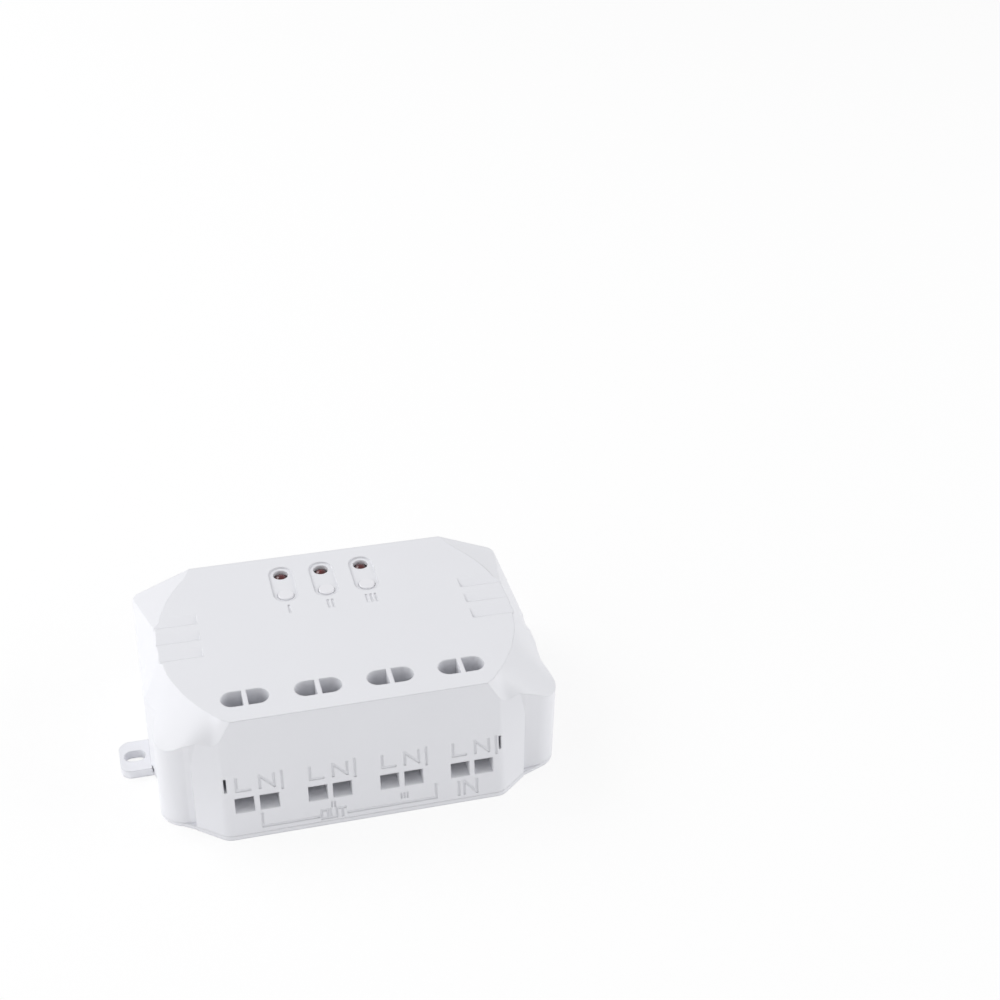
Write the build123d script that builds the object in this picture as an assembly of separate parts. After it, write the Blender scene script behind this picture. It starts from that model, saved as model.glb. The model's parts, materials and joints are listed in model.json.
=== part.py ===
from build123d import *
import math
import os

# Smart relay module: millimetres, +Z up, origin under the middle of the case.
# "half" values run sideways from the middle, "in" values run back from the front foot.

overrun = 3.0  # how far every cutter runs past what it cuts

# Case outline
case_depth = 90.0
case_height = 40.4
wall = 2.2
face_half = 43.6
face_round = 5.0
crease_half = 52.3
crease_in = 7.0
groove_in = 8.8
foot_start_in = 7.2
foot_end_half = 57.2
foot_end_in = 9.6
foot_back_in = 14.0
post_start_half = 55.5
post_start_in = 9.4
post_half = 61.0
post_in = 11.9
post_end_half = 63.5
post_end_in = 17.6
post_back_half = 62.8
post_back_in = 22.4
waist_half = 61.6
waist_in = 27.0
post_shift = 1.2
bulge_half = 63.3
bulge_in = 37.0
side_half = 62.9
rear_half = 62.4
rear_radius = 5.0
front_lean_share = 0.2
crease_lean_share = 0.07
rear_lean_share = 0.045

# Raised top and the shoulders round it
top_corner_half = 40.0
top_side_in = 40.5
drum_half = 57.2
drum_radius = 55.9
drum_middle_back = 41.7
drum_depth = 8.0
side_shoulder_half = 57.0
side_shoulder_drop = 8.9
shoulder_reach = 19.0
shoulder_angles = (42.0, 46.0, 49.0, 52.5, 58.0, 64.0, 70.5, 77.0, 84.0, 92.0)
shoulder_slope_shares = (2.1, 1.85, 1.3, 0.86, 0.79, 0.81, 1.1, 1.3, 1.44, 1.508)
rear_corner_drop = 8.6
rear_side_slope_share = 0.43
rear_back_slope_share = 0.194

# Finger grips in the edge of the raised top
grip_inner_half = 43.5
grip_depth = 0.8
grip_length = 5.2
grip_first_in = 41.0
grip_pitch = 8.5
grip_count = 3

# Inside corners of the shell
inner_corner_in = 33.0
inner_waist_share = 0.22
inner_shoulder_share = 1.1
inner_shoulder_back = 1.5
inner_rear_chamfer = 3.0

# Base plate, its mounting tabs and what stands on it
plate_thickness = 1.3
lip_height = 1.3
lip_clearance = 0.3
tab_length = 10.0
tab_width = 14.2
tab_thickness = 3.0
tab_round = 3.6
left_tab_in = 41.9
right_tab_in = 70.0
tab_gap = 0.2
slot_length = 6.8
slot_width = 4.8
slot_edge = 5.1
standoff_radius = 3.4

# Boards
board_thickness = 1.6
board_height = 5.4
board_half = 57.0
board_front_in = 10.4
board_rear_gap = 6.0
board_front_half = 40.6
board_rear_half = 45.0
board_side_back = 20.0
board_screw_half = 51.0
board_screw_front_in = 34.0
board_screw_rear_back = 24.0
control_drop = 12.4
control_half = 36.5
control_rear_gap = 6.0
control_depth = 23.4
board_corner = 2.0

# Screws that hold the boards and the case
screw_radius = 1.45
screw_clearance = 0.05
screw_head_radius = 2.8
screw_head_height = 1.8
screw_length = 6.0
drive_radius = 1.5
drive_width = 0.6
drive_depth = 0.8
case_screw_length = 14.0
case_screw_front_half = 56.0
case_screw_front_in = 18.4
case_screw_rear_half = 54.8
case_screw_rear_back = 9.0
case_boss_radius = 4.0
case_boss_drop = 6.0

# Wire terminals: four pairs of poles
pair_count = 4
pair_pitch = 22.5
pole_pitch = 7.62
terminal_front_in = 11.4
terminal_depth = 13.4
terminal_height = 16.2
terminal_side = 0.7
wire_hole_width = 5.96
wire_hole_bottom = 9.2
wire_hole_top = 14.25
screw_in = 18.4
cage_width = 5.7
cage_depth = 5.6
cage_bottom = 8.3
cage_floor = 0.8
cage_window_width = 4.5
cage_window_height = 5.2
cage_head = 2.0
cage_travel = 3.5
cage_clearance = 0.15
clamp_radius = 1.5
clamp_clearance = 0.05
clamp_head_radius = 2.3
clamp_head_height = 1.9
clamp_slot_width = 0.7
clamp_slot_depth = 1.1
head_clearance = 0.2
bar_width = 3.6
bar_thickness = 1.0
bar_clearance = 0.05
pin_thickness = 1.0
pin_back = 3.7
pin_below = 2.0

# Screwdriver wells and wire guides, moulded in the cover
well_length = 14.7
well_width = 7.0
well_rib = 1.5
well_wall = 1.2
guide_wall = 1.1
fit_gap = 0.3

# Indicator lamps and push buttons
channel_count = 3
channel_pitch = 13.55
lamp_back = 11.4
button_back = 22.9
pad_length = 19.2
pad_width = 8.0
pad_depth = 0.5
lamp_hole_radius = 2.5
lamp_radius = 2.35
lamp_flange_radius = 2.9
lamp_flange_height = 1.0
lamp_top_drop = 0.8
lamp_standoff = 1.0
leg_width = 0.5
leg_pitch = 2.54
button_radius = 2.65
button_clearance = 0.1
button_flange_radius = 3.5
button_flange_height = 1.0
button_edge = 0.4
button_travel = 0.5
switch_side = 6.0
switch_height = 3.5
switch_corner = 0.5
plunger_radius = 1.75
plunger_clearance = 0.08
plunger_rise = 1.6
plunger_sunk = 0.8

# Marks sunk in the cover
mark_width = 0.7
mark_depth = 0.25
letter_bottom = 17.1
letter_top = 21.3
letter_l_left = 5.9
letter_l_right = 1.9
letter_n_left = 1.2
letter_n_right = 5.6
bar_mark_right = 8.0
bar_mark_top = 21.9
bar_mark_bottom = 15.9
low_letter_width = 1.9
low_letter_gap = 0.9
low_letter_bottom = 2.5
low_letter_top = 5.4
word_out_middle = -10.7
in_letter_width = 4.1
in_letter_gap = 1.7
in_letter_bottom = 2.9
in_letter_top = 7.6
word_in_left = 29.3
small_bar_pitch = 0.95
small_bar_bottoms = (6.3, 5.3)
small_bar_rise = 1.5
small_bar_middles = (-10.6, 11.8)
small_mark_width = 0.5
bracket_left = -32.6
bracket_right = 21.9
bracket_line_height = 3.3
bracket_tops = (7.9, 8.1)
numeral_pitch = 1.5
numeral_length = 3.6
numeral_back = 31.0
slit_half = 43.0
slit_bottom = 16.7
slit_top = 21.4
slit_width = 0.8

# Relays
relay_count = 3
relay_length = 28.5
relay_width = 12.7
relay_height = 15.6
relay_front_in = 30.0
relay_edge = 0.8
relay_rim = 3.2
relay_step = 0.3
vent_radius = 1.1
vent_height = 0.5

# Mains side parts, from the live pair back
fuse_half = 50.0
fuse_in = 49.0
fuse_length = 20.0
fuse_radius = 2.6
fuse_cap_length = 5.2
fuse_cap_thickness = 0.3
fuse_rise = 4.2
clip_width = 4.2
clip_wall = 0.6
varistor_half = 23.6
varistor_in = 31.0
varistor_radius = 5.4
varistor_thickness = 4.2
varistor_rise = 1.5
filter_half = 36.5
filter_in = 32.4
filter_length = 13.0
filter_width = 6.0
filter_height = 12.0
filter_edge = 0.6
core_half = 33.6
core_in = 48.6
core_length = 17.0
core_width = 13.0
core_height = 16.0
core_leg = 3.4
coil_width = 17.6
coil_lead = 1.4
coil_gap = 0.3
reservoir_half = 27.0
reservoir_back = 20.5
reservoir_radius = 5.0
reservoir_headroom = 4.0
reservoir_edge = 0.7
reservoir_groove = 0.4
choke_half = 12.0
choke_back = 17.0
choke_radius = 4.0
choke_height = 8.0
choke_neck = 2.6
choke_flange = 1.4
chip_half = 42.8
chip_back = 26.6
chip_length = 9.4
chip_width = 6.4
chip_height = 3.4
chip_leg_width = 0.6
chip_leg_pitch = 2.286
chip_leg_count = 4
driver_length = 3.0
driver_width = 2.4
driver_height = 1.1
driver_gap = 0.6

# Links between the two boards, and the radio
spacer_half = 32.5
spacer_edge = 3.6
spacer_across = 5.0
socket_pins = 8
socket_pitch = 2.54
socket_width = 2.5
socket_height = 11.0
socket_edge = 1.8
link_pin_width = 0.64
radio_half = 23.6
radio_width = 11.4
radio_length = 20.0
radio_thickness = 0.8
shield_width = 9.6
shield_length = 12.4
shield_height = 2.2
shield_edge = 0.4
antenna_length = 7.0
antenna_width = 2.0
antenna_height = 1.2

# Worked out from the sizes above
side_shoulder_height = case_height - side_shoulder_drop
control_height = case_height - control_drop
drum_middle_in = case_depth - drum_middle_back
board_rear_in = case_depth - board_rear_gap
board_side_end_in = case_depth - board_side_back
board_screw_rear_in = case_depth - board_screw_rear_back
control_rear_in = case_depth - control_rear_gap
control_front_in = control_rear_in - control_depth
case_screw_rear_in = case_depth - case_screw_rear_back
lamp_in = case_depth - lamp_back
button_in = case_depth - button_back
numeral_in = case_depth - numeral_back
spacer_front_in = control_front_in + spacer_edge
spacer_rear_in = control_rear_in - spacer_edge
socket_in = control_rear_in - socket_edge
radio_in = control_rear_in - control_depth / 2
reservoir_in = case_depth - reservoir_back
choke_in = case_depth - choke_back
chip_in = case_depth - chip_back
driver_in = relay_front_in + relay_length + driver_gap + driver_width / 2
board_top = board_height + board_thickness
control_top = control_height + board_thickness
reservoir_height = control_height - board_top - reservoir_headroom
roof = case_height - wall
plate_top = plate_thickness + lip_height
terminal_top = board_top + terminal_height
window_bottom = cage_bottom + cage_floor
window_top = window_bottom + cage_window_height
cage_top = window_top + cage_head
bar_top = window_top - 2 * bar_clearance
bar_bottom = bar_top - bar_thickness
head_bottom = cage_top + cage_travel + 2 * head_clearance + clamp_head_height / 2
pair_places = [(n - (pair_count - 1) / 2) * pair_pitch for n in range(pair_count)]
channel_places = [(n - (channel_count - 1) / 2) * channel_pitch for n in range(channel_count)]
pole_places = [place + side * pole_pitch / 2 for place in pair_places for side in (-1, 1)]
case_screw_places = [
    (side * half, inward)
    for half, inward in (
        (case_screw_front_half, case_screw_front_in),
        (case_screw_rear_half, case_screw_rear_in),
    )
    for side in (-1, 1)
]
board_screw_places = [
    (side * board_screw_half, inward)
    for inward in (board_screw_front_in, board_screw_rear_in)
    for side in (-1, 1)
]
spacer_places = [
    (side * spacer_half, inward)
    for inward in (spacer_front_in, spacer_rear_in)
    for side in (-1, 1)
]


def at(x, inward, z=0.0):
    """Place measured from the middle, the front foot and the ground."""
    return Vector(x, inward - case_depth / 2, z)


def block(x, inward, bottom, width, depth, height):
    """Box centred on a place, standing on the height called bottom."""
    return Pos(at(x, inward, bottom + height / 2)) * Box(width, depth, height)


def post(x, inward, bottom, radius, height):
    """Round post standing on the height called bottom."""
    return Pos(at(x, inward, bottom + height / 2)) * Cylinder(radius, height)


def polygon(places, z=0.0):
    """Flat face through places given as sideways and inward sizes."""
    return make_face(Polyline([at(x, inward, z) for x, inward in places], close=True))


def closed_face(lines):
    """Flat face inside a ring of lines and arcs."""
    return make_face([edge for line in lines for edge in line.edges()])


def trim(form, place, normal):
    """Cuts away what lies on the side of the plane that the normal points to."""
    return split(form, bisect_by=Plane(origin=place, z_dir=normal), keep=Keep.BOTTOM)


def fuse_all(pieces):
    """Joins pieces that belong to one moulding."""
    joined = pieces[0]
    for piece in pieces[1:]:
        joined = joined + piece
    return joined


def export(shape, name):
    """Writes one piece, or one group of like pieces."""
    export_step(shape, f"parts/{name}.step")


def drum_edge(inward):
    """Half width of the raised top's round side at a depth."""
    middle = drum_half - drum_radius
    return middle + math.sqrt(drum_radius**2 - (inward - drum_middle_in) ** 2)


def front_block():
    """Leaning front with its turned corners, from the ground to the top."""
    sections = []
    for z in (0.0, case_height):
        face_in = front_lean_share * z
        corner_in = crease_in + crease_lean_share * z
        half_outline = [(face_half, face_in), (crease_half, corner_in), (crease_half, case_depth / 2)]
        places = half_outline + [(-x, inward) for x, inward in reversed(half_outline)]
        face = polygon(places, z)
        sections.append(fillet(face.vertices().sort_by(Axis.Y)[:2], face_round))
    return loft(sections, ruled=True)


def side_body():
    """Upright body with a groove and a round post at each front corner, and a waist behind it."""
    lines = []
    for side in (-1, 1):
        shift = post_shift
        groove = at(side * crease_half, groove_in)
        post_start = at(side * post_start_half + shift, post_start_in)
        post_front = at(side * post_half + shift, post_in)
        post_end = at(side * post_end_half + shift, post_end_in)
        post_back = at(side * post_back_half + shift, post_back_in)
        waist = at(side * waist_half + shift, waist_in)
        bulge = at(side * bulge_half, bulge_in)
        lines.append(Line(groove, post_start))
        lines.append(ThreePointArc(post_start, post_front, post_end))
        lines.append(ThreePointArc(post_end, post_back, waist))
        lines.append(Polyline(waist, bulge, at(side * rear_half, case_depth)))
    lines.append(Line(at(-rear_half, case_depth), at(rear_half, case_depth)))
    lines.append(Line(at(-crease_half, groove_in), at(crease_half, groove_in)))
    outline = closed_face(lines)
    outline = fillet(outline.vertices().group_by(Axis.Y)[-1], rear_radius)
    return extrude(outline, amount=case_height)


def side_slope():
    """Fall of the shoulders along the sides, for each millimetre outward."""
    return (case_height - side_shoulder_height) / (side_half - side_shoulder_half)


def corner_foot(side):
    """Wedge of the base plate that closes the groove at the foot."""
    end_half = side * foot_end_half + post_shift
    places = [
        (side * crease_half, foot_start_in),
        (end_half, foot_end_in),
        (end_half, foot_back_in),
        (side * crease_half, foot_back_in),
    ]
    return extrude(polygon(places), amount=plate_thickness)


def shoulder_cut(side):
    """Cutter over the shoulder, whose slope changes smoothly round the drum."""
    middle = at(side * (drum_half - drum_radius), drum_middle_in, case_height)
    sections = []
    for angle, slope in zip(shoulder_angles, shoulder_slope_shares):
        turn = math.radians(angle)
        outward = Vector(side * math.sin(turn), -math.cos(turn), 0)
        inner = middle + outward * drum_radius
        outer = inner + outward * shoulder_reach
        start = inner - outward * overrun / slope + Vector(0, 0, overrun)
        drop = Vector(0, 0, -slope * shoulder_reach)
        lift = Vector(0, 0, overrun)
        sections.append(make_face(Polyline(start, outer + drop, outer + lift, close=True)))
    return loft(sections)


def raised_top():
    """Flat top between its two round sides, behind the front shoulders."""
    rear_in = case_depth - rear_lean_share * case_height
    z = case_height - drum_depth
    lines = []
    for side in (-1, 1):
        ends = [at(side * drum_edge(inward), inward, z) for inward in (top_side_in, rear_in)]
        middle = at(side * drum_half, drum_middle_in, z)
        lines.append(ThreePointArc(ends[0], middle, ends[1]))
    for inward in (top_side_in, rear_in):
        half = drum_edge(inward)
        lines.append(Line(at(-half, inward, z), at(half, inward, z)))
    return extrude(closed_face(lines), amount=drum_depth)


def grips():
    """Wedge cutters for the finger grips in the raised top's round sides."""
    cutters = []
    length = drum_half + overrun - grip_inner_half
    for number in range(grip_count):
        front = grip_first_in + number * grip_pitch
        places = [
            (front, case_height - grip_depth),
            (front + grip_length, case_height),
            (front + grip_length, case_height + overrun),
            (front, case_height + overrun),
        ]
        for side in (-1, 1):
            start = side * grip_inner_half
            wedge = make_face(Polyline([at(start, inward, z) for inward, z in places], close=True))
            cutters.append(extrude(wedge, amount=length, dir=(side, 0, 0)))
    return cutters


def case_form():
    """Outside form of the whole case, base plate and cover together."""
    form = front_block() + side_body() + corner_foot(-1) + corner_foot(1)
    form = trim(form, at(0, case_depth), (0, 1, rear_lean_share))
    rear_in = case_depth - rear_lean_share * case_height
    for side in (-1, 1):
        form = trim(form, at(side * side_shoulder_half, 0, case_height), (side * side_slope(), 0, 1))
        rear_normal = (side * rear_side_slope_share, rear_back_slope_share, 1)
        form = trim(form, at(side * side_half, rear_in, case_height - rear_corner_drop), rear_normal)
        form = form - shoulder_cut(side)
    form = form + raised_top()
    return form - grips()


def cavity():
    """Space inside the shell, cut back from a block by its inner wall planes."""
    inner_half = side_half - wall
    height = roof + overrun
    space = block(0, case_depth / 2, roof - height, 2 * inner_half, case_depth, height)
    lean = math.hypot(1, front_lean_share)
    space = trim(space, at(0, wall * lean), (0, -1, front_lean_share))
    space = trim(space, at(0, case_depth - wall), (0, 1, rear_lean_share))
    rear_in = case_depth - rear_lean_share * case_height
    rear_normal_length = math.hypot(1, rear_side_slope_share, rear_back_slope_share)
    along = Vector(drum_edge(top_side_in) - top_corner_half, top_side_in - front_lean_share * case_height)
    along = along.normalized()
    for side in (-1, 1):
        shoulder_drop = wall * math.hypot(1, side_slope())
        place = at(side * side_shoulder_half, 0, case_height - shoulder_drop)
        space = trim(space, place, (side * side_slope(), 0, 1))
        rear_z = case_height - rear_corner_drop - wall * rear_normal_length
        rear_normal = (side * rear_side_slope_share, rear_back_slope_share, 1)
        space = trim(space, at(side * side_half, rear_in, rear_z), rear_normal)
        space = trim(space, at(side * inner_corner_in, 0), (side, -1, 0))
        inner_waist = at(side * (waist_half - post_shift - wall), waist_in)
        space = trim(space, inner_waist, (side, -inner_waist_share, 0))
        outward = Vector(side * along.Y, -along.X, 0)
        place = at(side * top_corner_half, front_lean_share * case_height, roof)
        place = place - outward * inner_shoulder_back
        slope = outward * inner_shoulder_share
        space = trim(space, place, Vector(slope.X, slope.Y, 1))
        chamfer_place = at(side * (inner_half - inner_rear_chamfer), case_depth - wall)
        space = trim(space, chamfer_place, (side, 1, 0))
    return space


def stroke(plane, start, end, width=mark_width):
    """One sunk stroke between two places on a plane."""
    run = Vector(*end) - Vector(*start)
    middle = (Vector(*start) + Vector(*end)) / 2
    angle = math.degrees(math.atan2(run.Y, run.X))
    bar = Box(run.length + width, width, 2 * mark_depth)
    return plane * Pos(middle.X, middle.Y) * Rot(0, 0, angle) * bar


def strokes(plane, places):
    """Strokes through a row of places."""
    return [stroke(plane, start, end) for start, end in zip(places, places[1:])]


def front_plane():
    """Plane of the leaning front, with its upward axis along the lean."""
    return Plane(origin=at(0, 0), x_dir=(1, 0, 0), z_dir=(0, -1, front_lean_share))


def terminal_marks():
    """Live and neutral letters with a bar, over each pair of wire holes."""
    plane = front_plane()
    cutters = []
    for x in pair_places:
        left = x - letter_l_left
        low = letter_bottom
        cutters += strokes(plane, [(left, letter_top), (left, low), (x - letter_l_right, low)])
        left = x + letter_n_left
        right = x + letter_n_right
        cutters += strokes(plane, [(left, low), (left, letter_top), (right, low), (right, letter_top)])
        bar = x + bar_mark_right
        cutters.append(stroke(plane, (bar, bar_mark_bottom), (bar, bar_mark_top)))
    return cutters


def foot_letter(kind, left, right, low, high):
    """One small letter of the marks along the foot, between its edges."""
    shapes = {
        "O": [[(left, low), (left, high), (right, high), (right, low), (left, low)]],
        "U": [[(left, high), (left, low), (right, low), (right, high)]],
        "T": [[(left, high), (right, high)], [((left + right) / 2, high), ((left + right) / 2, low)]],
        "I": [[(left, low), (left, high)]],
        "N": [[(left, low), (left, high), (right, low), (right, high)]],
    }
    cutters = []
    for places in shapes[kind]:
        cutters += strokes(front_plane(), places)
    return cutters


def foot_marks():
    """Output and input words, the output bracket and the output numbers."""
    plane = front_plane()
    cutters = []
    step = low_letter_width + low_letter_gap
    word_width = len("OUT") * step - low_letter_gap
    for number, kind in enumerate("OUT"):
        left = word_out_middle - word_width / 2 + number * step
        cutters += foot_letter(kind, left, left + low_letter_width, low_letter_bottom, low_letter_top)
    n_left = word_in_left + in_letter_gap
    cutters += foot_letter("I", word_in_left, word_in_left, in_letter_bottom, in_letter_top)
    cutters += foot_letter("N", n_left, n_left + in_letter_width, in_letter_bottom, in_letter_top)
    for number, (middle, low) in enumerate(zip(small_bar_middles, small_bar_bottoms), start=1):
        for bar in range(number + 1):
            place = middle + (bar - number / 2) * small_bar_pitch
            cutters.append(stroke(plane, (place, low), (place, low + small_bar_rise), small_mark_width))
    word_half = word_width / 2 + low_letter_gap
    line = bracket_line_height
    ends = ((bracket_left, word_out_middle - word_half), (bracket_right, word_out_middle + word_half))
    for (start, end), top in zip(ends, bracket_tops):
        cutters += strokes(plane, [(start, top), (start, line), (end, line)])
    return cutters


def numeral_marks():
    """One, two and three bars in front of the buttons."""
    plane = Plane(origin=at(0, 0, case_height))
    cutters = []
    for number, x in enumerate(channel_places):
        for bar in range(number + 1):
            place = x + (bar - number / 2) * numeral_pitch
            low = numeral_in - numeral_length / 2
            cutters.append(stroke(plane, (place, low), (place, low + numeral_length)))
    return cutters


def clip_slits():
    """Narrow upright slits through the front, beside the outer marks."""
    depth = 2 * (wall + overrun)
    height = slit_top - slit_bottom
    middle_in = front_lean_share * (slit_bottom + slit_top) / 2
    return [
        block(side * slit_half, middle_in, slit_bottom, slit_width, depth, height)
        for side in (-1, 1)
    ]


def screwdriver_wells():
    """Oval sleeves that lead from the top down to the clamp screws, and their bores."""
    sleeves = []
    bores = []
    bottom = terminal_top + fit_gap
    for x in pair_places:
        place = at(x, screw_in, bottom)
        outer = SlotOverall(well_length + 2 * well_wall, well_width + 2 * well_wall)
        sleeves.append(Pos(place) * extrude(outer, amount=roof + mark_depth - bottom))
        inner = extrude(SlotOverall(well_length, well_width), amount=case_height + overrun - bottom)
        inner = Pos(place - Vector(0, 0, mark_depth)) * inner
        rib = block(x, screw_in, bottom - overrun, well_rib, well_width + overrun, case_height)
        bores.append(inner - rib)
    return sleeves, bores


def wire_guides():
    """Square sleeves that lead each wire from the front to its clamp, and their bores."""
    sleeves = []
    bores = []
    height = wire_hole_top - wire_hole_bottom
    depth = terminal_front_in - fit_gap
    for x in pair_places:
        width = pole_pitch + wire_hole_width + 2 * guide_wall
        bottom = wire_hole_bottom - guide_wall
        sleeve_height = height + 2 * guide_wall
        start = front_lean_share * (wire_hole_bottom + wire_hole_top) / 2 + wall / 2
        middle_in = (start + depth) / 2
        sleeves.append(block(x, middle_in, bottom, width, depth - start, sleeve_height))
    for x in pole_places:
        middle_in = (depth - overrun) / 2
        length = depth + 2 * overrun
        bores.append(block(x, middle_in, wire_hole_bottom, wire_hole_width, length, height))
    return sleeves, bores


def channel_cutters():
    """Sunk pads with the lamp and button holes."""
    cutters = []
    for x in channel_places:
        middle_in = (lamp_in + button_in) / 2
        pad = extrude(SlotOverall(pad_length, pad_width, rotation=90), amount=pad_depth + overrun)
        cutters.append(Pos(at(x, middle_in, case_height - pad_depth)) * pad)
        drill = wall + 2 * overrun
        bottom = roof - overrun
        cutters.append(post(x, lamp_in, bottom, lamp_hole_radius, drill))
        cutters.append(post(x, button_in, bottom, button_radius + button_clearance, drill))
    return cutters


def case_bosses(form):
    """Screw bosses in the cover's rear corners, kept within the case."""
    bosses = []
    for side in (-1, 1):
        bottom = plate_top + lip_clearance
        height = case_height - case_boss_drop - bottom
        x = side * case_screw_rear_half
        bosses.append(post(x, case_screw_rear_in, bottom, case_boss_radius, height) & form)
    return bosses


def make_cover(form):
    """The moulded cover with all that is formed in it."""
    cover = split(form, bisect_by=Plane(origin=(0, 0, plate_thickness)), keep=Keep.TOP)
    cover = cover - cavity()
    sleeves, wells = screwdriver_wells()
    guides, bores = wire_guides()
    cover = cover + fuse_all(sleeves + guides + case_bosses(form))
    cover = cover - wells - bores
    cover = cover - channel_cutters() - clip_slits()
    for x, inward in case_screw_places:
        pilot = case_screw_length + screw_clearance
        cover = cover - post(x, inward, 0, screw_radius + screw_clearance, pilot)
    return cover - terminal_marks() - foot_marks() - numeral_marks()


def mounting_tab(side):
    """Flat ear with its slot."""
    middle_in = left_tab_in if side < 0 else right_tab_in
    ear = RectangleRounded(2 * tab_length, tab_width, tab_round)
    ear = Pos(at(side * side_half, middle_in)) * extrude(ear, amount=tab_thickness)
    gap = tab_length + tab_gap
    over_half = side * (side_half + tab_gap - gap / 2)
    over_plate = block(over_half, middle_in, plate_thickness, gap, tab_width + overrun, tab_thickness)
    slot = extrude(SlotOverall(slot_length, slot_width), amount=tab_thickness + overrun)
    slot_place = at(side * (side_half + slot_edge), middle_in, -overrun / 2)
    return ear - over_plate - Pos(slot_place) * slot


def make_base(form):
    """Base plate: flange, inner lip, ears and standoffs."""
    plate = split(form, bisect_by=Plane(origin=(0, 0, plate_thickness)), keep=Keep.BOTTOM)
    space = cavity()
    scale_x = 1 - lip_clearance / (side_half - wall)
    scale_y = 1 - 2 * lip_clearance / (case_depth - 2 * wall)
    middle = at(0, case_depth / 2)
    lip = Pos(middle) * scale(Pos(-middle) * space, by=(scale_x, scale_y, 1))
    lip = split(lip, bisect_by=Plane(origin=(0, 0, plate_thickness)), keep=Keep.TOP)
    lip = split(lip, bisect_by=Plane(origin=(0, 0, plate_top)), keep=Keep.BOTTOM)
    plate = plate + lip
    for side in (-1, 1):
        plate = plate + mounting_tab(side)
    for x, inward in board_screw_places:
        plate = plate + post(x, inward, plate_thickness, standoff_radius, board_height - plate_thickness)
        hole = screw_radius + screw_clearance
        plate = plate - post(x, inward, plate_thickness, hole, board_height)
    for x, inward in case_screw_places:
        hole = screw_radius + screw_clearance
        plate = plate - post(x, inward, -overrun, hole, 2 * overrun + plate_top)
        sink = Cone(screw_head_radius + screw_clearance, hole, plate_thickness)
        plate = plate - Pos(at(x, inward, plate_thickness / 2)) * sink
    return plate


def make_main_board():
    """Lower board with its corners cut back and its holes drilled."""
    half_outline = [
        (board_front_half, board_front_in),
        (board_half, board_front_in + board_half - board_front_half),
        (board_half, board_side_end_in),
        (board_rear_half, board_rear_in),
    ]
    places = half_outline + [(-x, inward) for x, inward in reversed(half_outline)]
    board = extrude(polygon(places, board_height), amount=board_thickness)
    hole = screw_radius + screw_clearance
    holes = [post(x, inward, 0, hole, 2 * board_top) for x, inward in board_screw_places]
    holes += [post(x, inward, 0, hole, 2 * board_top) for x, inward in spacer_places]
    slot = pin_thickness + 2 * bar_clearance
    holes += [
        block(x, screw_in + pin_back, 0, slot, slot, 2 * board_top) for x in pole_places
    ]
    return board - holes


def make_control_board():
    """Upper board that carries lamps, switches and the radio."""
    width = 2 * control_half
    depth = control_rear_in - control_front_in
    middle_in = (control_front_in + control_rear_in) / 2
    board = extrude(RectangleRounded(width, depth, board_corner), amount=board_thickness)
    board = Pos(at(0, middle_in, control_height)) * board
    hole = screw_radius + screw_clearance
    return board - [post(x, inward, 0, hole, case_height) for x, inward in spacer_places]


def make_terminal(x):
    """Housing of one pair: wire mouths, clamp chambers, screw wells and pin slots."""
    width = 2 * pole_pitch + terminal_side
    middle_in = terminal_front_in + terminal_depth / 2
    housing = block(x, middle_in, board_top, width, terminal_depth, terminal_height)
    upper = housing.edges().group_by(Axis.Z)[-1]
    housing = chamfer(upper, terminal_side / 2)
    cutters = []
    for side in (-1, 1):
        pole = x + side * pole_pitch / 2
        mouth_height = wire_hole_top - wire_hole_bottom
        mouth_depth = screw_in - terminal_front_in + overrun
        mouth_in = terminal_front_in + mouth_depth / 2 - overrun
        cutters.append(
            block(pole, mouth_in, wire_hole_bottom, cage_width, mouth_depth, mouth_height)
        )
        chamber_width = cage_width + 2 * cage_clearance
        chamber_depth = cage_depth + 2 * cage_clearance
        chamber_bottom = cage_bottom - cage_clearance
        chamber_height = cage_top + cage_travel + cage_clearance - chamber_bottom
        cutters.append(
            block(pole, screw_in, chamber_bottom, chamber_width, chamber_depth, chamber_height)
        )
        cutters.append(post(pole, screw_in, cage_top, clamp_radius + cage_clearance, terminal_height))
        head = clamp_head_radius + head_clearance
        cutters.append(post(pole, screw_in, head_bottom - head_clearance, head, terminal_height))
        slot_width = bar_width + 2 * bar_clearance
        slot_bottom = bar_bottom - bar_clearance
        slot_height = bar_thickness + 2 * bar_clearance
        reach = pin_back + pin_thickness / 2 + bar_clearance
        cutters.append(
            block(pole, screw_in + reach / 2, slot_bottom, slot_width, reach, slot_height)
        )
        pin_slot = pin_thickness + 2 * bar_clearance
        cutters.append(block(pole, screw_in + pin_back, 0, pin_slot, pin_slot, bar_top))
    return housing - cutters


def make_clamp_cage(x):
    """Rising cage: floor, two sides and a threaded head round the wire window."""
    height = cage_top - cage_bottom
    cage = block(x, screw_in, cage_bottom, cage_width, cage_depth, height)
    cage = chamfer(cage.edges().filter_by(Axis.Z), cage_floor / 2)
    window = block(x, screw_in, window_bottom, cage_window_width, 2 * cage_depth, cage_window_height)
    thread = post(x, screw_in, window_top - overrun, clamp_radius + clamp_clearance, cage_head + 2 * overrun)
    return cage - window - thread


def make_clamp_screw(x):
    """Clamp screw: shank, slotted head and a chamfered tip."""
    tip = bar_top + clamp_clearance
    shank = post(x, screw_in, tip, clamp_radius, head_bottom - tip)
    shank = chamfer(shank.edges().group_by(Axis.Z)[0], clamp_radius / 4)
    head = post(x, screw_in, head_bottom, clamp_head_radius, clamp_head_height)
    head = fillet(head.edges().group_by(Axis.Z)[-1], clamp_head_height / 6)
    slot_bottom = head_bottom + clamp_head_height - clamp_slot_depth
    length = 2 * (clamp_head_radius + overrun)
    slot = block(x, screw_in, slot_bottom, length, clamp_slot_width, clamp_slot_depth + overrun)
    return shank + head - slot


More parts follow.
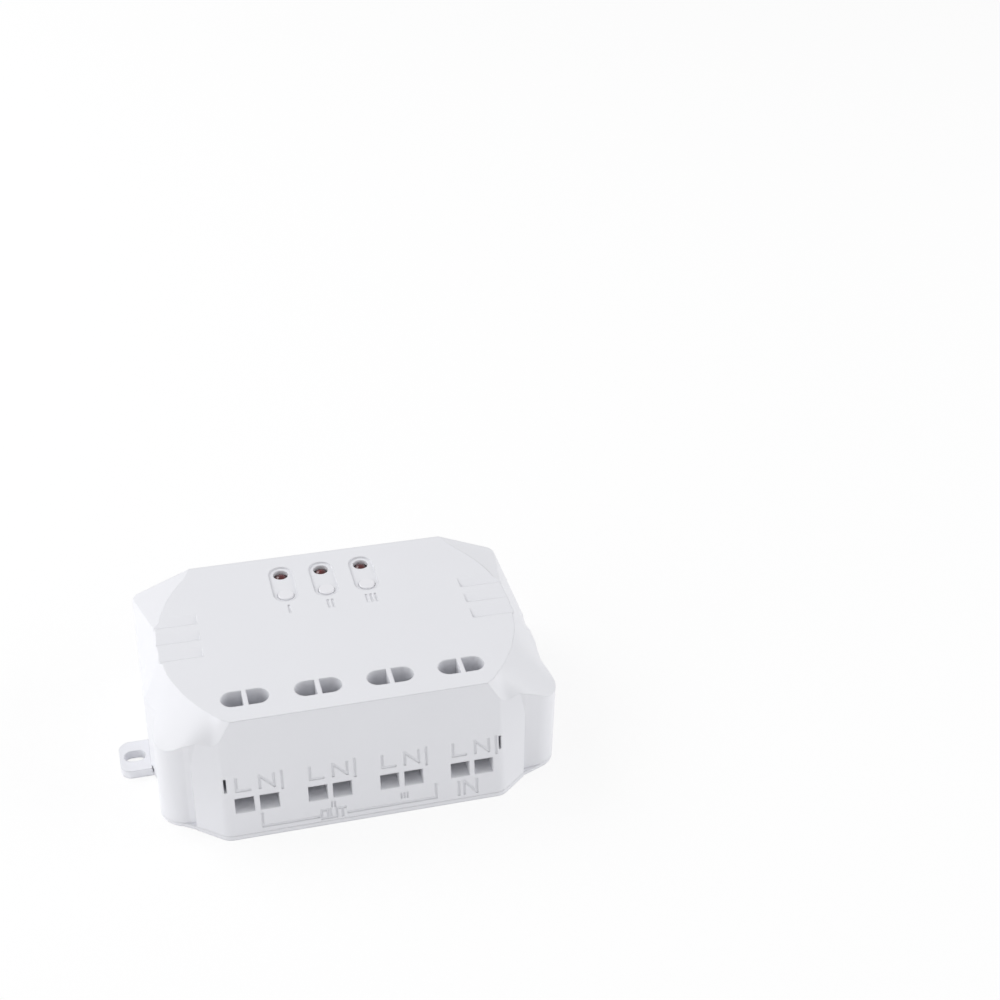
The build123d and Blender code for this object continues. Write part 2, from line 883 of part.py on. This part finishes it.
def make_terminal_pins():
    """Contact bars under the clamp screws, each with a pin down through the board."""
    pins = []
    for x in pole_places:
        front = cage_depth / 2
        reach = front + pin_back + pin_thickness / 2
        middle_in = screw_in - front + reach / 2
        bar = block(x, middle_in, bar_bottom, bar_width, reach, bar_thickness)
        bottom = board_height - pin_below
        pin = block(x, screw_in + pin_back, bottom, pin_thickness, pin_thickness, bar_top - bottom)
        pins.append(bar + pin)
    return Compound(children=pins)


def make_relay(number):
    """One relay: a sealed case on a wider foot, with its vent nub."""
    x = pair_places[number]
    middle_in = relay_front_in + relay_length / 2
    foot = block(x, middle_in, board_top, relay_width, relay_length, relay_rim)
    upper_width = relay_width - 2 * relay_step
    upper_length = relay_length - 2 * relay_step
    upper = block(x, middle_in, board_top, upper_width, upper_length, relay_height)
    upper = fillet(upper.edges().group_by(Axis.Z)[-1], relay_edge)
    nub_in = relay_front_in + relay_length - relay_rim
    nub = post(x, nub_in, board_top + relay_height - vent_height, vent_radius, 2 * vent_height)
    return foot + upper + nub


def make_cap(x):
    """Push button cap with the flange that keeps it in the cover."""
    bottom = control_top + switch_height + plunger_rise
    stem = post(x, button_in, bottom, button_radius, case_height - bottom)
    stem = fillet(stem.edges().group_by(Axis.Z)[-1], button_edge)
    flange_bottom = roof - button_clearance - button_flange_height
    flange = post(x, button_in, flange_bottom, button_flange_radius, button_flange_height)
    return stem + flange


def make_switch(x):
    """Tact switch body with the round mouth for its plunger."""
    body = block(x, button_in, control_top, switch_side, switch_side, switch_height)
    body = chamfer(body.edges().filter_by(Axis.Z), switch_corner)
    mouth_bottom = control_top + switch_height - plunger_sunk - 2 * button_travel
    return body - post(x, button_in, mouth_bottom, plunger_radius + plunger_clearance, switch_height)


def make_plunger(x):
    """Switch plunger, standing in its mouth under the cap."""
    bottom = control_top + switch_height - plunger_sunk
    return post(x, button_in, bottom, plunger_radius, plunger_sunk + plunger_rise)


def make_lamp(x):
    """Round indicator lamp: flange, body and dome."""
    bottom = control_top + lamp_standoff
    dome_middle = case_height - lamp_top_drop - lamp_radius
    flange = post(x, lamp_in, bottom, lamp_flange_radius, lamp_flange_height)
    body = post(x, lamp_in, bottom, lamp_radius, dome_middle - bottom)
    dome = Pos(at(x, lamp_in, dome_middle)) * Sphere(lamp_radius)
    return flange + body + dome


def make_lamp_legs():
    """Two legs under each lamp."""
    legs = []
    for x in channel_places:
        for side in (-1, 1):
            place = x + side * leg_pitch / 2
            legs.append(block(place, lamp_in, control_top, leg_width, leg_width, lamp_standoff))
    return Compound(children=legs)


def cross_slot(top):
    """Cross-shaped drive recess, centred on the height called top."""
    bars = [Rot(0, 0, angle) * Box(2 * drive_radius, drive_width, 2 * drive_depth) for angle in (0, 90)]
    return Pos(0, 0, top) * fuse_all(bars)


def pan_screw(x, inward, seat, length):
    """Upright pan-head screw that bears on the height called seat."""
    head = Pos(0, 0, screw_head_height / 2) * Cylinder(screw_head_radius, screw_head_height)
    head = fillet(head.edges().group_by(Axis.Z)[-1], screw_head_height / 3)
    shank = Pos(0, 0, -length / 2) * Cylinder(screw_radius, length)
    shank = chamfer(shank.edges().group_by(Axis.Z)[0], screw_radius / 3)
    return Pos(at(x, inward, seat)) * (head + shank - cross_slot(screw_head_height))


def make_board_screws():
    """Screws that hold the main board to the base and the upper board to its spacers."""
    length = board_top - plate_thickness - fit_gap
    screws = [pan_screw(x, inward, board_top, length) for x, inward in board_screw_places]
    screws += [pan_screw(x, inward, control_top, screw_length) for x, inward in spacer_places]
    return Compound(children=screws)


def make_case_screws():
    """Countersunk screws that enter from below and hold the cover to the base."""
    screws = []
    for x, inward in case_screw_places:
        head = Pos(0, 0, plate_thickness / 2) * Cone(screw_head_radius, screw_radius, plate_thickness)
        shank_length = case_screw_length - plate_thickness
        shank = Pos(0, 0, plate_thickness + shank_length / 2) * Cylinder(screw_radius, shank_length)
        shank = chamfer(shank.edges().group_by(Axis.Z)[-1], screw_radius / 3)
        screws.append(Pos(at(x, inward)) * (head + shank - cross_slot(0)))
    return Compound(children=screws)


def make_spacers():
    """Hexagon spacers between the boards, with a stud through the main board."""
    spacers = []
    for x, inward in spacer_places:
        height = control_height - board_top
        body = Pos(at(x, inward, board_top)) * extrude(RegularPolygon(spacer_across / 2, 6), amount=height)
        hole = screw_length
        bottom = control_height - hole
        body = body - post(x, inward, bottom, screw_radius + screw_clearance, 2 * hole)
        stud = post(x, inward, board_height, screw_radius, board_thickness)
        spacers.append(body + stud)
    return Compound(children=spacers)


def make_fuse():
    """Tube fuse lying along the board, with its end caps."""
    centre = board_top + fuse_rise
    turn = Rot(90, 0, 0)
    tube_radius = fuse_radius - fuse_cap_thickness
    fuse = Pos(at(fuse_half, fuse_in, centre)) * turn * Cylinder(tube_radius, fuse_length)
    for side in (-1, 1):
        cap_in = fuse_in + side * (fuse_length - fuse_cap_length) / 2
        fuse = fuse + Pos(at(fuse_half, cap_in, centre)) * turn * Cylinder(fuse_radius, fuse_cap_length)
    return fuse


def make_fuse_clips():
    """Two spring clips that stand on the board and hold the fuse."""
    clips = []
    centre = board_top + fuse_rise
    for side in (-1, 1):
        clip_in = fuse_in + side * (fuse_length - fuse_cap_length) / 2
        width = 2 * (fuse_radius + clip_wall)
        clip = block(fuse_half, clip_in, board_top, width, clip_width, fuse_rise + fuse_radius / 2)
        bore_radius = fuse_radius + clamp_clearance
        bore = Pos(at(fuse_half, clip_in, centre)) * Rot(90, 0, 0) * Cylinder(bore_radius, 2 * clip_width)
        mouth = block(fuse_half, clip_in, centre, 2 * fuse_radius - clip_wall, 2 * clip_width, fuse_rise)
        clips.append(clip - bore - mouth)
    return Compound(children=clips)


def make_varistor():
    """Disc varistor standing on its edge, with two leads."""
    centre = board_top + varistor_rise + varistor_radius
    disc = Rot(90, 0, 0) * Cylinder(varistor_radius, varistor_thickness)
    disc = fillet(disc.edges(), varistor_thickness / 4)
    body = Pos(at(varistor_half, varistor_in, centre)) * disc
    for side in (-1, 1):
        place = varistor_half + side * leg_pitch
        body = body + block(place, varistor_in, board_top, leg_width, leg_width, varistor_rise * 2)
    return body


def make_filter_capacitor():
    """Boxed mains filter capacitor."""
    body = block(filter_half, filter_in, board_top, filter_length, filter_width, filter_height)
    return fillet(body.edges().group_by(Axis.Z)[-1], filter_edge)


def make_core():
    """Ferrite core of the power transformer: two E halves as one loop with a middle leg."""
    core = block(core_half, core_in, board_top, core_length, core_width, core_height)
    window_width = (core_length - 2 * core_leg - core_leg) / 2
    for side in (-1, 1):
        place = core_half + side * (core_leg + window_width) / 2
        window = block(
            place, core_in, board_top + core_leg, window_width, 2 * core_width, core_height - 2 * core_leg
        )
        core = core - window
    return core


def make_coil():
    """Wound bobbin round the core's middle leg, filling its windows."""
    height = core_height - 2 * core_leg - 2 * coil_gap
    width = core_length - 2 * core_leg - 2 * coil_gap
    body = block(core_half, core_in, board_top + core_leg + coil_gap, width, coil_width, height)
    body = fillet(body.edges().filter_by(Axis.Z), coil_lead)
    leg = block(
        core_half, core_in, board_top, core_leg + 2 * coil_gap, core_width + 2 * coil_gap, core_height
    )
    foot_out = (coil_width - coil_lead) / 2
    feet = [
        block(core_half, core_in + side * foot_out, board_top, width, coil_lead, core_height / 2)
        for side in (-1, 1)
    ]
    return fuse_all([body - leg] + feet)


def make_reservoir():
    """Electrolytic capacitor: sleeve with a groove near its foot and a rounded top."""
    body = post(reservoir_half, reservoir_in, board_top, reservoir_radius, reservoir_height)
    body = fillet(body.edges().group_by(Axis.Z)[-1], reservoir_edge)
    ring = Torus(reservoir_radius, reservoir_groove)
    return body - Pos(at(reservoir_half, reservoir_in, board_top + reservoir_radius / 2)) * ring


def make_choke():
    """Drum choke: two flanges and a wound neck."""
    lower = post(choke_half, choke_in, board_top, choke_radius, choke_flange)
    neck = post(choke_half, choke_in, board_top, choke_radius - choke_neck / 4, choke_height)
    upper_bottom = board_top + choke_height - choke_flange
    upper = post(choke_half, choke_in, upper_bottom, choke_radius, choke_flange)
    return lower + neck + upper


def make_power_chip():
    """Power supply chip with four legs on each side."""
    rise = chip_leg_width
    chip = block(chip_half, chip_in, board_top + rise, chip_length, chip_width, chip_height)
    for number in range(chip_leg_count):
        x = chip_half + (number - (chip_leg_count - 1) / 2) * chip_leg_pitch
        for side in (-1, 1):
            leg_in = chip_in + side * chip_width / 2
            chip = chip + block(x, leg_in, board_top, chip_leg_width, 2 * chip_leg_width, chip_height / 2)
    return chip


def make_drivers():
    """Three driver transistors behind the relays."""
    return Compound(
        children=[
            block(pair_places[n], driver_in, board_top, driver_length, driver_width, driver_height)
            for n in range(relay_count)
        ]
    )


def make_link_socket():
    """Socket strip on the main board that takes the upper board's pins."""
    width = socket_pins * socket_pitch
    socket = block(0, socket_in, board_top, width, socket_width, socket_height)
    return chamfer(socket.edges().filter_by(Axis.Z), link_pin_width / 2)


def make_link_pins():
    """Row of pins from the upper board down to the socket."""
    bottom = board_top + socket_height
    pins = []
    for number in range(socket_pins):
        x = (number - (socket_pins - 1) / 2) * socket_pitch
        pins.append(block(x, socket_in, bottom, link_pin_width, link_pin_width, control_height - bottom))
    return Compound(children=pins)


def make_radio_board():
    """Radio module's own board, lying on the upper board."""
    return block(-radio_half, radio_in, control_top, radio_width, radio_length, radio_thickness)


def make_radio_shield():
    """Pressed shield can over the radio circuit."""
    shield_in = radio_in - (radio_length - shield_length) / 2 + shield_edge
    bottom = control_top + radio_thickness
    can = block(-radio_half, shield_in, bottom, shield_width, shield_length, shield_height)
    return fillet(can.edges().group_by(Axis.Z)[-1], shield_edge)


def make_antenna():
    """Chip antenna at the radio board's rear edge."""
    antenna_in = radio_in + radio_length / 2 - antenna_width
    bottom = control_top + radio_thickness
    return block(-radio_half, antenna_in, bottom, antenna_length, antenna_width, antenna_height)


def main():
    os.makedirs("parts", exist_ok=True)
    form = case_form()
    export(make_cover(form), "top_cover")
    export(make_base(form), "base_plate")
    export(make_main_board(), "main_board")
    export(make_control_board(), "control_board")
    for number, x in enumerate(pair_places, start=1):
        export(make_terminal(x), f"terminal_housing_{number}")
    for number, x in enumerate(pole_places, start=1):
        export(make_clamp_screw(x), f"clamp_screw_{number}")
        export(make_clamp_cage(x), f"clamp_cage_{number}")
    for number, x in enumerate(channel_places, start=1):
        export(make_relay(number - 1), f"relay_{number}")
        export(make_cap(x), f"button_cap_{number}")
        export(make_switch(x), f"switch_body_{number}")
        export(make_plunger(x), f"switch_plunger_{number}")
        export(make_lamp(x), f"indicator_lamp_{number}")
    singles = {
        "terminal_pins": make_terminal_pins(),
        "lamp_legs": make_lamp_legs(),
        "board_screws": make_board_screws(),
        "case_screws": make_case_screws(),
        "board_spacers": make_spacers(),
        "fuse_tube": make_fuse(),
        "fuse_clips": make_fuse_clips(),
        "varistor": make_varistor(),
        "filter_capacitor": make_filter_capacitor(),
        "transformer_core": make_core(),
        "transformer_coil": make_coil(),
        "reservoir_capacitor": make_reservoir(),
        "drum_choke": make_choke(),
        "power_chip": make_power_chip(),
        "driver_transistors": make_drivers(),
        "link_socket": make_link_socket(),
        "link_pins": make_link_pins(),
        "radio_board": make_radio_board(),
        "radio_shield": make_radio_shield(),
        "chip_antenna": make_antenna(),
    }
    for name, shape in singles.items():
        export(shape, name)


main()
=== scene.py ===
# The looks of a white relay module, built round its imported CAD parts.
import json

import bmesh
import bpy
from mathutils import Matrix, Vector

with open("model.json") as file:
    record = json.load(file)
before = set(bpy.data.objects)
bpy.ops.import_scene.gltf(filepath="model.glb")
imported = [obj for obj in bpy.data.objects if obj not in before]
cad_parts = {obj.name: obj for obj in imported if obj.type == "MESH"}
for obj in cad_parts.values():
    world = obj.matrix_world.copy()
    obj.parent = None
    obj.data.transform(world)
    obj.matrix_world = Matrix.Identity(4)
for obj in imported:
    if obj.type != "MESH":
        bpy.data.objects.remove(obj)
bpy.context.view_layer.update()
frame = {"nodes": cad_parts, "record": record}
nodes = frame["nodes"]
white = (1.0, 1.0, 1.0, 1.0)
black = (0.0, 0.0, 0.0, 1.0)


class Value:
    # One output of a shader node; arithmetic on it adds the Math nodes.
    def __init__(self, finish, socket):
        self.finish = finish
        self.socket = socket

    def math(self, operation, first, second):
        return self.finish.node("ShaderNodeMath", {"operation": operation}, {0: first, 1: second})

    def __add__(self, other):
        return self.math("ADD", self, other)

    def __radd__(self, other):
        return self.math("ADD", other, self)

    def __rsub__(self, other):
        return self.math("SUBTRACT", other, self)

    def __mul__(self, other):
        return self.math("MULTIPLY", self, other)

    def __rmul__(self, other):
        return self.math("MULTIPLY", other, self)

    def __lt__(self, other):
        return self.math("LESS_THAN", self, other)


class Finish:
    # One material, with its nodes added by a single method.
    def __init__(self, name):
        self.material = bpy.data.materials.new(name)
        self.material.use_nodes = True
        self.tree = self.material.node_tree
        self.tree.nodes.clear()
        self.point = self.node("ShaderNodeTexCoord", output="Object")

    def node(self, kind, settings=None, inputs=None, output=0):
        made = self.tree.nodes.new(kind)
        for name, setting in (settings or {}).items():
            setattr(made, name, setting)
        for name, value in (inputs or {}).items():
            socket = made.inputs[name]
            if isinstance(value, Value):
                self.tree.links.new(value.socket, socket)
            else:
                socket.default_value = value
        return Value(self, made.outputs[output]) if made.outputs else made

    def noise(self, scale, detail=2.0, roughness=0.5, place=None):
        inputs = {"Vector": place or self.point, "Scale": scale, "Detail": detail, "Roughness": roughness}
        return self.node("ShaderNodeTexNoise", None, inputs)

    def blend(self, share, first, second):
        settings = {"data_type": "RGBA", "blend_type": "MIX"}
        return self.node("ShaderNodeMix", settings, {0: share, 6: first, 7: second}, 2)

    def bump(self, height, distance, under=None):
        inputs = {"Height": height, "Distance": distance}
        if under:
            inputs["Normal"] = under
        return self.node("ShaderNodeBump", None, inputs)

    def surface(self, inputs):
        shader = self.node("ShaderNodeBsdfPrincipled", None, inputs)
        self.node("ShaderNodeOutputMaterial", None, {"Surface": shader})
        return self.material


def shade(color, factor):
    return tuple(min(1.0, channel * factor) for channel in color[:3]) + (1.0,)


def softEdges(finish, look, height):
    # Every edge of a moulding is a little round; the grain lies over that.
    rounded = finish.node("ShaderNodeBevel", {"samples": look["edgeSamples"]}, {"Radius": look["edgeRadius"]})
    return finish.bump(height, look["grainDepth"], rounded)


def mouldedPlastic(name, look):
    # Spark-eroded grain from the mould, a little unevenness and uneven gloss.
    finish = Finish(name)
    cloud = finish.noise(look["cloudScale"], 3.0)
    darker = shade(look["color"], 1 - look["unevenness"])
    lighter = shade(look["color"], 1 + look["unevenness"])
    color = finish.blend(cloud, darker, lighter)
    grain = finish.noise(look["grainScale"], 2.0, 0.6)
    sheen = finish.noise(look["sheenScale"], 2.0)
    roughness = sheen * look["roughnessSpread"] + (look["roughness"] - look["roughnessSpread"] / 2)
    inputs = {"Base Color": color, "Roughness": roughness}
    inputs["Normal"] = softEdges(finish, look, grain)
    if "coat" in look:
        inputs["Coat Weight"] = look["coat"]
        inputs["Coat Roughness"] = look["coatRoughness"]
    return finish.surface(inputs)


def plainMetal(name, look):
    # Plated metal: fine streaks from drawing or turning, patches of duller plating.
    finish = Finish(name)
    stretch = finish.node("ShaderNodeMapping", None, {"Vector": finish.point, "Scale": look["streakScale"]})
    streak = finish.noise(1.0, 3.0, 0.6, stretch)
    patch = finish.noise(look["patchScale"], 3.0)
    dull, bright = look["patchShades"]
    color = finish.blend(patch, shade(look["color"], dull), shade(look["color"], bright))
    roughness = streak * look["roughnessSpread"] + patch * look["roughnessSpread"] + look["roughness"]
    inputs = {"Base Color": color, "Metallic": 1.0, "Roughness": roughness}
    inputs["Normal"] = finish.bump(streak, look["streakDepth"])
    return finish.surface(inputs)


def circuitBoard(name, look):
    # Lacquered board: copper runs under the green, bare tinned pads in a grid.
    finish = Finish(name)
    bend = finish.noise(look["runBend"], 1.0)
    layout = {"offset": look["runOffset"], "squash": look["runSquash"]}
    runs = finish.node("ShaderNodeTexBrick", layout, {
        "Vector": finish.point, "Scale": look["runScale"], "Mortar Size": look["runGap"],
        "Color1": white, "Color2": look["secondRun"], "Mortar": black,
    })
    cells = finish.node("ShaderNodeTexVoronoi", None, {
        "Vector": finish.point, "Scale": look["padScale"], "Randomness": look["padStray"],
    })
    pads = cells < look["padSize"]
    lacquer = finish.blend(runs, look["gapColor"], look["runColor"])
    cloudy = finish.blend(bend * look["cloudShare"], lacquer, shade(look["runColor"], look["cloudShade"]))
    color = finish.blend(pads, cloudy, look["padColor"])
    inputs = {"Base Color": color, "Roughness": look["roughness"] + look["roughnessSpread"] * bend}
    inputs["Coat Weight"] = look["coat"] - look["coat"] * pads
    inputs["Metallic"] = pads * look["padMetal"]
    inputs["Normal"] = finish.bump(runs, look["runDepth"])
    return finish.surface(inputs)


def windings(name, look):
    # Tape or sleeve laid round in turns, with the edge of each turn showing.
    finish = Finish(name)
    turns = finish.node("ShaderNodeTexWave", {"bands_direction": look["across"]}, {
        "Vector": finish.point, "Scale": look["turnScale"],
        "Distortion": look["turnWander"], "Detail": 1.0,
    }, 1)
    wear = finish.noise(look["wearScale"], 4.0)
    color = finish.blend(turns * look["turnShare"], look["color"], shade(look["color"], look["turnShade"]))
    color = finish.blend(wear * look["wearShare"], color, shade(look["color"], look["wearShade"]))
    inputs = {"Base Color": color, "Roughness": look["roughness"] + look["roughnessSpread"] * wear}
    inputs["Normal"] = finish.bump(turns, look["turnDepth"])
    return finish.surface(inputs)


def lacquered(name, look):
    # Dipped, fired or sintered surface: pores, speckle and a skin of gloss.
    finish = Finish(name)
    pores = finish.node("ShaderNodeTexVoronoi", None, {"Vector": finish.point, "Scale": look["poreScale"]})
    speckle = finish.noise(look["speckleScale"], 4.0, 0.7)
    darker = shade(look["color"], 1 - look["spread"])
    lighter = shade(look["color"], 1 + look["spread"])
    color = finish.blend(speckle, darker, lighter)
    inputs = {"Base Color": color, "Roughness": look["roughness"] + look["roughnessSpread"] * speckle}
    inputs["Coat Weight"] = look["coat"]
    inputs["Normal"] = finish.bump(pores, look["poreDepth"])
    return finish.surface(inputs)


def lampLens(name, look):
    # Dark red lens, clouded with a lighter red and glossy.
    finish = Finish(name)
    flow = finish.noise(look["flowScale"], 3.0)
    color = finish.blend(flow, look["deepColor"], look["edgeColor"])
    inputs = {"Base Color": color, "Roughness": look["roughness"] + look["roughnessSpread"] * flow}
    inputs["Coat Weight"] = look["coat"]
    inputs["Coat Roughness"] = look["coatRoughness"]
    inputs["Normal"] = finish.bump(flow, look["flowDepth"])
    return finish.surface(inputs)


whiteLook = {
    "color": (0.785, 0.79, 0.825),
    "unevenness": 0.012,
    "cloudScale": 45.0,
    "grainScale": 5200.0,
    "grainDepth": 0.000012,
    "edgeRadius": 0.0006,
    "edgeSamples": 6,
    "sheenScale": 160.0,
    "roughness": 0.42,
    "roughnessSpread": 0.08,
}
buttonLook = dict(whiteLook, color=(0.80, 0.80, 0.835), edgeRadius=0.0004, grainScale=7000.0, roughness=0.36)
housingLook = dict(whiteLook, color=(0.60, 0.61, 0.63), edgeRadius=0.0002, grainScale=7000.0, roughness=0.38)
blackLook = dict(whiteLook, color=(0.028, 0.028, 0.031), unevenness=0.12, roughness=0.5)
blackLook.update(grainDepth=0.00001, edgeRadius=0.00015)
relayLook = dict(blackLook, color=(0.018, 0.02, 0.026), roughness=0.3, coat=0.2, coatRoughness=0.2)
yellowLook = dict(blackLook, color=(0.66, 0.40, 0.035), unevenness=0.05, roughness=0.4)
steelLook = {
    "color": (0.62, 0.62, 0.61),
    "streakScale": (900.0, 900.0, 6000.0),
    "patchScale": 420.0,
    "patchShades": (0.82, 1.1),
    "roughness": 0.2,
    "roughnessSpread": 0.12,
    "streakDepth": 0.000003,
}
contactLook = dict(steelLook, color=(0.74, 0.67, 0.50), roughness=0.22)
tinLook = dict(steelLook, color=(0.70, 0.71, 0.72), streakScale=(5000.0, 500.0, 500.0), roughness=0.26)
boardLook = {
    "gapColor": (0.008, 0.055, 0.022, 1.0),
    "runColor": (0.014, 0.115, 0.042, 1.0),
    "padColor": (0.60, 0.60, 0.57, 1.0),
    "runBend": 130.0,
    "runScale": 150.0,
    "runOffset": 0.37,
    "runSquash": 2.0,
    "runGap": 0.03,
    "secondRun": (0.7, 0.7, 0.7, 1.0),
    "runDepth": 0.00002,
    "padScale": 390.0,
    "padStray": 0.25,
    "padSize": 0.16,
    "padMetal": 0.9,
    "cloudShare": 0.25,
    "cloudShade": 0.7,
    "roughness": 0.3,
    "roughnessSpread": 0.12,
    "coat": 0.4,
}
tapeLook = {
    "color": (0.62, 0.42, 0.06, 1.0),
    "across": "Z",
    "turnScale": 180.0,
    "wearScale": 900.0,
    "turnDepth": 0.00004,
    "turnWander": 0.6,
    "turnShare": 0.35,
    "turnShade": 0.72,
    "wearShare": 0.2,
    "wearShade": 1.25,
    "roughness": 0.28,
    "roughnessSpread": 0.15,
}
sleeveLook = dict(tapeLook, color=(0.018, 0.022, 0.04, 1.0), turnScale=60.0)
sleeveLook.update(turnDepth=0.00001, roughness=0.32)
ferriteLook = {
    "color": (0.045, 0.043, 0.042),
    "poreScale": 2600.0,
    "poreDepth": 0.00003,
    "speckleScale": 3800.0,
    "spread": 0.3,
    "roughness": 0.55,
    "roughnessSpread": 0.12,
    "coat": 0.0,
}
varistorLook = dict(ferriteLook, color=(0.03, 0.10, 0.36), poreScale=900.0, spread=0.1)
varistorLook.update(roughness=0.25, coat=0.5)
ceramicLook = dict(ferriteLook, color=(0.72, 0.70, 0.65), poreScale=3000.0, spread=0.04)
ceramicLook.update(poreDepth=0.00001, coat=0.2)
antennaLook = dict(ceramicLook, color=(0.50, 0.60, 0.66))
lensLook = {
    "deepColor": (0.018, 0.0015, 0.002, 1.0),
    "edgeColor": (0.16, 0.012, 0.014, 1.0),
    "flowScale": 700.0,
    "flowDepth": 0.00001,
    "roughness": 0.16,
    "roughnessSpread": 0.08,
    "coat": 0.5,
    "coatRoughness": 0.08,
}
whiteCase = mouldedPlastic("whiteCase", whiteLook)
buttonWhite = mouldedPlastic("buttonWhite", buttonLook)
terminalPlastic = mouldedPlastic("terminalPlastic", housingLook)
blackPlastic = mouldedPlastic("blackPlastic", blackLook)
relayCase = mouldedPlastic("relayCase", relayLook)
filterBox = mouldedPlastic("filterBox", yellowLook)
platedSteel = plainMetal("platedSteel", steelLook)
contactMetal = plainMetal("contactMetal", contactLook)
shieldTin = plainMetal("shieldTin", tinLook)
greenBoard = circuitBoard("greenBoard", boardLook)
coilTape = windings("coilTape", tapeLook)
capacitorSleeve = windings("capacitorSleeve", sleeveLook)
ferrite = lacquered("ferrite", ferriteLook)
varistorCoat = lacquered("varistorCoat", varistorLook)
fuseCeramic = lacquered("fuseCeramic", ceramicLook)
antennaCeramic = lacquered("antennaCeramic", antennaLook)
redLens = lampLens("redLens", lensLook)
print("materials made")

finishOf = {
    "white_shell": whiteCase,
    "button_white": buttonWhite,
    "terminal_plastic": terminalPlastic,
    "plated_steel": platedSteel,
    "contact_metal": contactMetal,
    "board": greenBoard,
    "relay_case": relayCase,
    "black_plastic": blackPlastic,
    "lamp_red": redLens,
    "ferrite": ferrite,
    "coil_tape": coilTape,
    "capacitor_sleeve": capacitorSleeve,
    "filter_box": filterBox,
    "varistor_coat": varistorCoat,
    "fuse_ceramic": fuseCeramic,
    "shield_tin": shieldTin,
    "antenna_ceramic": antennaCeramic,
}


def dress(piece, material):
    piece.data.materials.clear()
    piece.data.materials.append(material)


for part in frame["record"]["subparts"]:
    dress(nodes[part["node"]], finishOf[part["material_slot"]])

cameraPlace = {
    "location": (-0.0688, -0.4208, 0.3749),
    "focalPixels": 1678.797,
    "frameWidth": 1000,
    "sensorWidth": 36.0,
    "nearest": 0.01,
    "furthest": 20.0,
    "right": (0.9654084, -0.2593727, 0.0266906),
    "down": (-0.1227582, -0.5424386, -0.8310781),
    "ahead": (0.2300370, 0.7990533, -0.5555149),
}


def makeCamera(place):
    data = bpy.data.cameras.new("photoCamera")
    data.sensor_width = place["sensorWidth"]
    data.lens = place["focalPixels"] / place["frameWidth"] * data.sensor_width
    data.clip_start = place["nearest"]
    data.clip_end = place["furthest"]
    camera = bpy.data.objects.new("photoCamera", data)
    axes = (Vector(place["right"]), -Vector(place["down"]), -Vector(place["ahead"]))
    turn = Matrix(axes).transposed().to_4x4()
    camera.matrix_world = Matrix.Translation(place["location"]) @ turn
    bpy.context.scene.collection.objects.link(camera)
    bpy.context.scene.camera = camera


makeCamera(cameraPlace)
print("camera set")

studio = {
    "worldStrength": 0.545,
    "floorColor": (0.96, 0.96, 0.965, 1.0),
    "floorHalf": 3.0,
    "floorSpeckle": 300.0,
    "floorSpeckleShade": 0.995,
    "floorRoughness": 0.8,
    "floorGlow": 0.82,
    "lamps": {
        "keyLamp": {"place": (-0.85, 0.75, 1.0), "size": 0.9, "power": 9.0},
        "leftFill": {"place": (-1.45, -0.35, 0.6), "size": 1.2, "power": 8.3},
        "rightFill": {"place": (1.45, -0.35, 0.6), "size": 1.2, "power": 10.3},
    },
}


def makeLamp(name, look):
    lamp = bpy.data.lights.new(name, "AREA")
    lamp.size = look["size"]
    lamp.energy = look["power"]
    holder = bpy.data.objects.new(name, lamp)
    holder.location = look["place"]
    holder.rotation_euler = (-Vector(look["place"])).to_track_quat("-Z", "Y").to_euler()
    bpy.context.scene.collection.objects.link(holder)


def makeStudio(look):
    world = bpy.data.worlds.new("studioWorld")
    world.use_nodes = True
    background = world.node_tree.nodes["Background"]
    background.inputs["Color"].default_value = white
    background.inputs["Strength"].default_value = look["worldStrength"]
    bpy.context.scene.world = world
    for name, lamp in look["lamps"].items():
        makeLamp(name, lamp)
    mesh = bpy.data.meshes.new("floor")
    shape = bmesh.new()
    bmesh.ops.create_grid(shape, x_segments=1, y_segments=1, size=look["floorHalf"])
    shape.to_mesh(mesh)
    shape.free()
    floor = bpy.data.objects.new("floor", mesh)
    mesh.materials.append(floorPaper(look))
    bpy.context.scene.collection.objects.link(floor)


def floorPaper(look):
    # White paper that photographs near white where nothing shades it, and keeps the shadow.
    finish = Finish("floorPaper")
    speckle = finish.noise(look["floorSpeckle"])
    color = finish.blend(speckle, shade(look["floorColor"], look["floorSpeckleShade"]), look["floorColor"])
    inputs = {"Base Color": color, "Roughness": look["floorRoughness"]}
    paper = finish.node("ShaderNodeBsdfPrincipled", None, inputs)
    glow = finish.node("ShaderNodeEmission", None, {"Color": white, "Strength": 1.0})
    seen = finish.node("ShaderNodeLightPath", output="Is Camera Ray")
    mirrored = finish.node("ShaderNodeLightPath", output="Is Glossy Ray")
    passed = finish.node("ShaderNodeLightPath", output="Is Transmission Ray")
    share = (seen + mirrored + passed) * look["floorGlow"]
    mixed = finish.node("ShaderNodeMixShader", None, {0: share, 1: paper, 2: glow})
    finish.node("ShaderNodeOutputMaterial", None, {"Surface": mixed})
    return finish.material


makeStudio(studio)
bpy.context.scene.view_settings.view_transform = "Standard"
print("studio lit")
